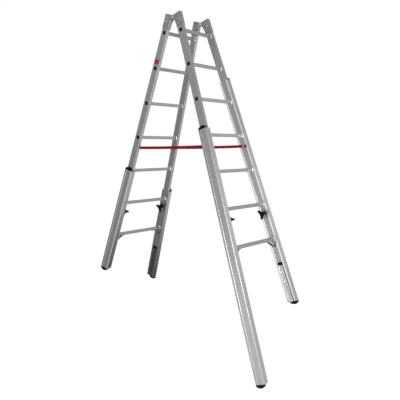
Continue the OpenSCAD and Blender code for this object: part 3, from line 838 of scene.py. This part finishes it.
class LADDER_OT_end_mouldings(bpy.types.Operator):
    """Models the rubber feet and the plugs on the sleeves' tops"""

    bl_idname = "ladder.end_mouldings"
    bl_label = "Feet and sleeve plugs"

    def execute(self, context):
        shape = context.scene.ladder_shape
        for leg in LEGS:
            low, high = leg.span("sleeve")
            foot = leg.world(self.moulding(leg, shape, "foot", low[2], -1))
            foot[..., 2] = np.maximum(foot[..., 2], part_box(f"{leg.name}_foot")[0].z)
            plug = leg.world(self.moulding(leg, shape, "sleeve_plug", high[2], 1))
            for part, points, finish, slot, flip in (
                    ("foot", foot, rubber_finish(), "foot_rubber", not leg.mirrored),
                    ("sleeve_plug", plug, plastic_finish(), "black_plastic", leg.mirrored)):
                piece = surface(f"{leg.name}_{part}_moulding", points[None], finish, flip=flip)
                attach(piece, f"{leg.name}_leg")
                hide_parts(f"{leg.name}_{part}")
        return {"FINISHED"}

    def moulding(self, leg, shape, part, seat, way):
        """Rings of the sleeve chamber's outline. Inside the sleeve they make a grip, and outside they run
        to a round sole: its height over the seat follows a circle through the sole's ends and middle."""
        low, high = leg.span(part)
        tall = seat - low[2] if way < 0 else high[2] - seat
        grip = high[2] - seat if way < 0 else seat - low[2]
        inner_corner = 0.001
        corner = shape.moulding_corner
        outline = rounded_box(low[:2], high[:2], (inner_corner, corner, corner, inner_corner), count=144)
        normal = outward(outline)
        middle = (low[:2] + high[:2]) / 2
        half, drop = (high[0] - low[0]) / 2, tall - shape.moulding_side
        radius = (half ** 2 + drop ** 2) / (2 * drop)
        rise, run = quarter(EDGE_STEPS)
        edge = shape.moulding_edge
        grip_set_in = 0.0042
        lip = 0.0006

        def sole(ring):
            return tall - radius + np.sqrt(radius ** 2 - np.minimum(np.abs(ring[:, 0]), half) ** 2)

        level = np.zeros(len(outline))
        held = outline - grip_set_in * normal
        soft = outline - lip * normal
        rows = [(0 * held + middle, level - grip), (held, level - grip), (held, level), (soft, level),
                (outline, level + lip)]
        rows += [(outline - edge * (1 - c) * normal, sole(outline) - edge * (1 - s))
                 for s, c in zip(rise, run)]
        flat = outline - edge * normal
        rows += [(middle + share * (flat - middle), sole(middle + share * (flat - middle)))
                 for share in (0.85, 0.7, 0.5, 0.3, 0.12, 0.0)]
        return np.stack([np.column_stack([ring, seat + way * height]) for ring, height in rows])


class LADDER_OT_straps(bpy.types.Operator):
    """Models the red webbing straps with their doubled, sewn ends"""

    bl_idname = "ladder.straps"
    bl_label = "Webbing straps"

    def execute(self, context):
        shape = context.scene.ladder_shape
        for hand in HANDS:
            low, high = (np.array(corner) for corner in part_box(f"{hand}_strap"))
            way = 1 if hand == "right" else -1
            points, uv = self.webbing(shape, low, high, way)
            strap = surface(f"{hand}_strap_webbing", points, webbing_finish(), uv=uv)
            seam = surface(f"{hand}_strap_seams", self.stitches(shape, low, high, way), thread_finish())
            for piece in (strap, seam):
                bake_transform(piece)
            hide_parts(f"{hand}_strap")
        return {"FINISHED"}

    def slack(self, low, high, x):
        """A shallow curve between the strap's ends: one less the square of the way out from its middle."""
        return 1 - ((2 * x - low[0] - high[0]) / (high[0] - low[0])) ** 2

    def webbing(self, shape, low, high, way):
        """A flat band: its section is a box with round edges, thicker at the selvedges, carried along X in a
        curve that sags and bows away from the stiles. Its ends are doubled towards the stile, with a short
        slope."""
        stations = 241
        x = np.linspace(low[0], high[0], stations)[:, None]
        wide, thick = high[2] - low[2], high[1] - low[1]
        edge, slope, doubling = 0.45 * thick, 0.004, 0.85 * thick
        section = rounded_box((-wide / 2, -thick / 2), (wide / 2, thick / 2), [edge] * 4, count=56)
        across, depth = section[:, 0][None], section[:, 1][None]
        firmer, firm_place, firm_width = 0.16, 0.42 * wide, 0.05 * wide
        selvedge = 1 + firmer * np.exp(-((np.abs(across) - firm_place) / firm_width) ** 2)
        from_end = np.minimum(x - low[0], high[0] - x)
        doubled = np.clip((shape.strap_fold - from_end) / slope, 0, 1)
        outer = np.where(depth > 0, doubling * doubled, 0)
        slack = self.slack(low, high, x)
        y = (low[1] + high[1]) / 2 + way * (depth * selvedge + outer - shape.strap_bow * slack)
        z = (low[2] + high[2]) / 2 + across - shape.strap_sag * slack
        tube = np.stack([x + 0 * across, y, z + 0 * x], axis=-1)
        ends = [tube[[k]].mean(axis=1, keepdims=True) + 0 * tube[[k]] for k in (0, -1)]
        points = np.concatenate([ends[0], tube, ends[1]])
        if way > 0:
            points = points[:, ::-1]
        round_it = np.linspace(0, 2 * (wide + thick), section.shape[0])
        along = np.concatenate([x[:1], x, x[-1:]])
        uv = np.stack([along + 0 * round_it, round_it + 0 * along], axis=-1)
        return points[None], uv[None]

    def stitches(self, shape, low, high, way):
        """Sewn boxes with one diagonal near the ends: each stitch is a short arch of thread, thin at its two
        ends, on the side away from the stile."""
        thread, length, pitch, arch, sunk = 0.0005, 0.0028, 0.0038, 0.9, 0.0002
        margin, from_slope = 0.007, 0.006
        box_long, box_high = 0.034, high[2] - low[2] - margin
        count = int(box_long / pitch)
        tall = int(box_high / pitch)
        run, climb = ((np.arange(number) - (number - 1) / 2) * pitch for number in (count, tall))
        flat = np.concatenate([np.stack([run, np.full(count, k * box_high / 2), 0 * run], 1)
                               for k in (-1, 1)])
        upright = np.concatenate([np.stack([np.full(tall, k * box_long / 2), climb, 1 + 0 * climb], 1)
                                  for k in (-1, 1)])
        slant = np.stack([run, run * box_high / box_long, np.full(count, 0.5)], 1)
        box = np.concatenate([flat, upright, slant])
        rings, columns = 6, 6
        t = np.linspace(-1, 1, rings)
        angle = np.linspace(0, FULL_TURN, columns, endpoint=False)
        size = thread * np.sqrt(1 - t ** 2)
        lift = (arch + np.sin(angle)) * size[:, None] - sunk
        set_in = shape.strap_fold - box_long / 2 - from_slope
        middles = np.concatenate([box + [low[0] + set_in, 0, 0], box + [high[0] - set_in, 0, 0]])
        slope = middles[:, 2] * math.pi / 2
        lead = np.stack([np.cos(slope), np.sin(slope)], axis=1)
        core = middles[:, None, :2] + t[None, :, None] * length / 2 * lead[:, None]
        side = np.stack([-lead[:, 1], lead[:, 0]], axis=1)
        ring = core[:, :, None] + (size[:, None] * np.cos(angle))[None, ..., None] * side[:, None, None]
        inner_face = low[1] if way > 0 else high[1]
        slack = self.slack(low, high, ring[..., 0])
        y = inner_face - way * (lift + shape.strap_bow * slack)
        z = (low[2] + high[2]) / 2 + ring[..., 1] - shape.strap_sag * slack
        points = np.stack([ring[..., 0], y, z], axis=-1)
        return points if way > 0 else points[:, :, ::-1]


class LADDER_OT_rung_beads(bpy.types.Operator):
    """Models the bead where each rung meets a stile"""

    bl_idname = "ladder.rung_beads"
    bl_label = "Rung beads"

    def execute(self, context):
        thick = context.scene.ladder_shape.bead_thick
        for leg in LEGS:
            piece = surface(f"{leg.name}_rung_beads", self.beads(leg, thick), bead_finish(),
                            flip=leg.mirrored)
            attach(piece, f"{leg.side}_section")
        return {"FINISHED"}

    def beads(self, leg, thick):
        """A rounded ring carried round each rung: half an ellipse on the stile's inner face, twice the bead's
        radius wide, with a flat foot just inside the stile, along a level square with round corners that
        lies about half that radius outside the rung."""
        half, corner, stretch, sunk, columns = 0.015, 0.0055, 1.25, 0.001, 10
        path = leg.level(rounded_box((-half, -half), (half, half), [corner] * 4, count=64))
        normal = outward(path)
        angle = np.linspace(0, FULL_TURN, columns, endpoint=False)
        wall = leg.span("stile")[0][1]
        middles = (leg.rung_ends() + leg.along * wall / leg.along[1])[:, None, None]
        ring = path[:, None] + thick * np.cos(angle)[None, :, None] * normal[:, None]
        depth = thick * stretch * np.minimum(np.sin(angle), 0) + sunk * (np.sin(angle) > 0)
        local = np.stack([ring[..., 0], np.broadcast_to(depth, ring.shape[:2]), ring[..., 1]], axis=-1)
        points = leg.world(middles + local[None])
        return np.concatenate([points, points[:, :1]], axis=1)


class LADDER_OT_rivet_heads(bpy.types.Operator):
    """Models the rivets of the hinge plates: hollow heads, bright domes and dull domes"""

    bl_idname = "ladder.rivet_heads"
    bl_label = "Rivet heads"

    def execute(self, context):
        shape = context.scene.ladder_shape
        radius, rise, bore = shape.rivet_radius, shape.rivet_rise, shape.rivet_bore
        sunk, raised = 0.001, 0.0005
        up, out = quarter(EDGE_STEPS)
        dome = [(0, 0, -sunk), (radius, 0, -sunk)] + [(radius * c, 0, rise * s) for s, c in zip(up, out)]
        lip = rise * math.sqrt(1 - (bore / radius) ** 2)
        rim = [row for row in dome if row[0] > bore or row[2] < 0]
        ring = rim + [(bore, 0, lip), (bore, 0, 0), (0, 0, 0)]
        deep = 0.7 * lip
        hollow = 0.8 * deep
        inside = [(0, 0, raised), (bore, 0, raised), (bore, 0, deep), (0.7 * bore, 0, hollow), (0, 0, hollow)]
        # painted light and shade: the middle and lower domes are one rivet in a lit and a shaded copy, bright
        # steel in the middle and the plates' grey below, and the hollow rivet's bore is painted shade
        top, middle, bottom = (0.0060, 0.01344), (0.0096, 0.04032), (-0.0072, 0.07488)
        for name, spot, rows, finish in (
                ("hollow", top, ring, plate_finish()), ("bore", top, inside, bore_shade_finish()),
                ("bright", middle, dome, steel_finish()), ("dull", bottom, dome, plate_finish())):
            for side in SIDES:
                heads = np.concatenate([self.heads(leg, spot, rows) for leg in LEGS if leg.side == side])
                piece = surface(f"{side}_{name}_rivets", heads, finish)
                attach(piece, f"{side}_section")
        return {"FINISHED"}

    def heads(self, leg, spot, rows):
        """One rivet of a leg's hinge plates, on their outer and inner faces, at a spot given as the way out
        and the way down from the hinge: circles whose radius and height the rows give, so that a quarter
        ellipse makes a dome."""
        low, high = leg.span("hinge_plates")
        aside, below = spot
        columns = 20
        angle = np.linspace(0, FULL_TURN, columns, endpoint=False)
        circle = np.stack([np.cos(angle), np.sin(angle)], axis=1)
        head = pads([(0, 0, 0)], circle, rows)
        outer, inner = ((aside, y, leg.hinge - below) for y in (high[1], low[1]))
        return np.concatenate([leg.rows(head + outer), leg.rows(head[..., ::-1, :] * (1, -1, 1) + inner)])


class LADDER_OT_rung_caps(bpy.types.Operator):
    """Models the black caps that close the rungs' ends in the stiles"""

    bl_idname = "ladder.rung_caps"
    bl_label = "Rung caps"

    def execute(self, context):
        shape = context.scene.ladder_shape
        for side in SIDES:
            caps = np.concatenate([self.caps(leg, shape) for leg in LEGS if leg.side == side])
            piece = surface(f"{side}_rung_caps", caps, plastic_finish())
            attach(piece, f"{side}_section")
            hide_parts(f"{side}_rung_plugs")
        return {"FINISHED"}

    def caps(self, leg, shape):
        """A level square with round corners, a thin raised rim and a hollow middle, on a plug that fills
        the rung."""
        half = shape.cap_side / 2
        outline = rounded_box((-half, -half), (half, half), [shape.cap_corner] * 4, count=48)
        plug, deep, sunk = 0.0036, 0.016, 0.001
        outer, inner, slope = 0.0004, 0.0022, 0.0028
        rim, hollow = 0.00032, 0.0001
        rows = [(0, 0, -deep), (1, plug, -deep), (1, plug, -sunk), (1, 0, -sunk), (1, 0, 0), (1, outer, rim),
                (1, inner, rim), (1, slope, hollow), (0.5, slope, hollow), (0, 0, hollow)]
        return leg.rows(pads(leg.rung_ends(), leg.level(outline), rows))


class LADDER_OT_patch(bpy.types.Operator):
    """Models the plain red patch on the short-legged section's left stile"""

    bl_idname = "ladder.patch"
    bl_label = "Red patch"

    def execute(self, context):
        """A box with round corners whose thin film rises to a small bevel."""
        wide, top, bottom = context.scene.ladder_shape.patch_span
        leg = next(leg for leg in LEGS if leg.name == "short_left")
        half = (wide / 2, (bottom - top) / 2)
        corner, film, sunk, bevel = 0.002, 0.00018, 0.0003, 0.0002
        outline = rounded_box((-half[0], -half[1]), half, [corner] * 4, count=64)
        rows = [(0, 0, -sunk), (1, 0, -sunk), (1, 0, 0.5 * film), (1, bevel, film), (0.5, bevel, film),
                (0, 0, film)]
        middle = (0, 0, leg.hinge - (top + bottom) / 2)
        piece = surface("short_left_stile_patch", leg.rows(pads([middle], outline, rows)), patch_finish())
        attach(piece, "short_section")
        return {"FINISHED"}


class LADDER_OT_stage(bpy.types.Operator):
    """Makes the floor, the background, the lamps and the camera"""

    bl_idname = "ladder.stage"
    bl_label = "Stage"

    def execute(self, context):
        stage = context.scene.ladder_stage
        self.floor(stage)
        self.background(context.scene, stage)
        for name in ("key", "fill", "rim"):
            power, place, side = (getattr(stage, f"{name}_{value}") for value in ("power", "place", "side"))
            self.lamp(context.scene, f"{name}_light", power, place, side)
        self.camera(context.scene, stage)
        context.scene.view_settings.view_transform = "Standard"
        return {"FINISHED"}

    def floor(self, stage):
        """A round floor at the lowest foot: rings of a circle whose radii grow with the square of their
        number."""
        rings, spokes = 9, 96
        disc = lathe(stage.floor_reach * np.linspace(0, 1, rings) ** 2, np.zeros(rings), spokes)
        surface("floor", disc[None], self.floor_finish(stage), flip=True)

    def floor_finish(self, stage):
        """Paper with a white glow for the eye and in reflections. Near the ladder the paper shows the lamps'
        light and the shadow, and further out the glow alone is white. A strip of it is dim for rays that
        don't come from the eye."""
        material = bpy.data.materials.new("studio_floor")
        material.use_nodes = True
        graph = Graph(material.node_tree)
        place = graph.place()
        out = graph.node("ShaderNodeVectorMath", {"operation": "LENGTH"}, {0: place}, "Value")
        fade_start, fade_end = 0.5 * stage.floor_reach, 0.95 * stage.floor_reach
        near = 1 - graph.ease(out, fade_start, fade_end)
        shade = self.unseen(graph) * self.strip(graph, stage, place) * (1 - stage.dim_room)
        paper = graph.node("ShaderNodeBsdfDiffuse", {},
                           {"Color": graph.mix(near * (1 - shade), (0, 0, 0, 1), opaque(stage.floor_colour))})
        white = stage.backdrop - near * (stage.backdrop - stage.floor_glow)
        strength = self.seen(graph) * (1 - shade) * white
        glow = graph.node("ShaderNodeEmission", {}, {"Color": (1, 1, 1, 1), "Strength": strength})
        both = graph.node("ShaderNodeAddShader", {}, {0: paper, 1: glow})
        graph.node("ShaderNodeOutputMaterial", {}, {"Surface": both})
        return material

    def strip(self, graph, stage, place):
        """1 on the strip of floor that runs from under the ladder to the dim room, and 0 away from it."""
        way = Vector((stage.dim_way[0], stage.dim_way[1], 0)).normalized()
        start = Vector(stage.dim_start)
        gone = (graph.dot(place, tuple(way)) - start.dot(way)).highest(0)
        nearest = graph.vector(start.x + gone * way.x, start.y + gone * way.y, 0.0)
        aside = graph.node("ShaderNodeVectorMath", {"operation": "DISTANCE"}, {0: place, 1: nearest}, "Value")
        return 1 - graph.ease(aside, *stage.dim_floor)

    def unseen(self, graph):
        """1 on rays that don't come from the eye."""
        return 1 - graph.node("ShaderNodeLightPath", {}, {}, "Is Camera Ray")

    def level(self, graph, stage):
        """Brightness of the surroundings in one direction: white, but in reflections dim near the way to the
        dim room and grey up towards the ceiling."""
        wall_top, ceiling_edge = 0.05, 0.55
        way = graph.node("ShaderNodeTexCoord", {}, {}, "Generated")
        edge, middle = (math.cos(angle) for angle in stage.dim_spread)
        dim = graph.ease(graph.dot(way, tuple(Vector(stage.dim_way).normalized())), edge, middle)
        high = graph.ease(graph.dot(way, (0, 0, 1)), wall_top, ceiling_edge)
        room = (1 - dim * (1 - stage.dim_room)) * (1 - high * (1 - stage.ceiling))
        return stage.backdrop * (1 - self.unseen(graph) * (1 - room))

    def seen(self, graph):
        """1 on rays from the eye, from a glossy surface or through a clear one."""
        rays = [graph.node("ShaderNodeLightPath", {}, {}, kind)
                for kind in ("Is Camera Ray", "Is Glossy Ray", "Is Transmission Ray")]
        return rays[0].highest(rays[1]).highest(rays[2])

    def background(self, scene, stage):
        """White all round for the eye and, apart from the dim room and the ceiling, in reflections. As a lamp
        it is weaker, so that the lamps model the ladder."""
        world = bpy.data.worlds.new("studio")
        scene.world = world
        world.use_nodes = True
        graph = Graph(world.node_tree)
        strength = stage.room_light + self.seen(graph) * (self.level(graph, stage) - stage.room_light)
        light = graph.node("ShaderNodeBackground", {}, {"Color": (1, 1, 1, 1), "Strength": strength})
        graph.node("ShaderNodeOutputWorld", {}, {"Surface": light})

    def lamp(self, scene, name, power, place, side):
        """A square lamp that faces the ladder's middle."""
        data = bpy.data.lights.new(name, "AREA")
        data.energy, data.size = power, side
        lamp = bpy.data.objects.new(name, data)
        scene.collection.objects.link(lamp)
        lamp.location = place
        low, high = cad_box
        lamp.rotation_mode = "QUATERNION"
        lamp.rotation_quaternion = ((Vector(low) + Vector(high)) / 2 - lamp.location).to_track_quat("-Z", "Y")
        lamp.visible_camera = False

    def camera(self, scene, stage):
        """The photographer's camera: yaw, pitch and roll give its axes, and the shift sets the optical
        middle."""
        yaw, pitch, roll = stage.camera_turn
        ahead = np.array([-math.sin(yaw) * math.cos(pitch), math.cos(yaw) * math.cos(pitch), math.sin(pitch)])
        level = np.array([math.cos(yaw), math.sin(yaw), 0])
        down = np.cross(ahead, level)
        right = math.cos(roll) * level + math.sin(roll) * down
        up = math.sin(roll) * level - math.cos(roll) * down
        data = bpy.data.cameras.new("photo_camera")
        data.sensor_width = 36
        data.lens = stage.focus_pixels / PHOTO_SIDE * data.sensor_width
        data.shift_x = 0.5 - stage.middle_pixels[0] / PHOTO_SIDE
        data.shift_y = stage.middle_pixels[1] / PHOTO_SIDE - 0.5
        data.clip_end = 100
        camera = bpy.data.objects.new("photo_camera", data)
        scene.collection.objects.link(camera)
        turn = np.eye(4)
        turn[:3, :3] = np.stack([right, up, -ahead], axis=1)
        turn[:3, 3] = stage.camera_place
        camera.matrix_world = Matrix(turn.tolist())
        scene.camera = camera


class LADDER_PT_sidebar(bpy.types.Panel):
    """Lists the steps that dress the ladder"""

    bl_idname = "LADDER_PT_sidebar"
    bl_label = "Trestle ladder"
    bl_space_type = "VIEW_3D"
    bl_region_type = "UI"
    bl_category = "Ladder"

    def draw(self, context):
        for step in STEPS:
            self.layout.operator(step.bl_idname)


STEPS = (LADDER_OT_stage, LADDER_OT_metal, LADDER_OT_straps, LADDER_OT_knobs, LADDER_OT_end_mouldings,
         LADDER_OT_rung_beads, LADDER_OT_rung_caps, LADDER_OT_rivet_heads, LADDER_OT_patch)
SETTINGS = {"ladder_stage": LadderStageSettings, "ladder_finish": LadderFinishSettings,
            "ladder_shape": LadderShapeSettings}


def register():
    for group in SETTINGS.values():
        bpy.utils.register_class(group)
    for name, group in SETTINGS.items():
        setattr(bpy.types.Scene, name, PointerProperty(type=group))
    for step in (*STEPS, LADDER_PT_sidebar):
        bpy.utils.register_class(step)


def unregister():
    for step in (LADDER_PT_sidebar, *reversed(STEPS)):
        bpy.utils.unregister_class(step)
    for name, group in SETTINGS.items():
        delattr(bpy.types.Scene, name)
        bpy.utils.unregister_class(group)


def main():
    register()
    for step in STEPS:
        area, name = step.bl_idname.split(".")
        getattr(getattr(bpy.ops, area), name)()


if __name__ == "__main__":
    main()
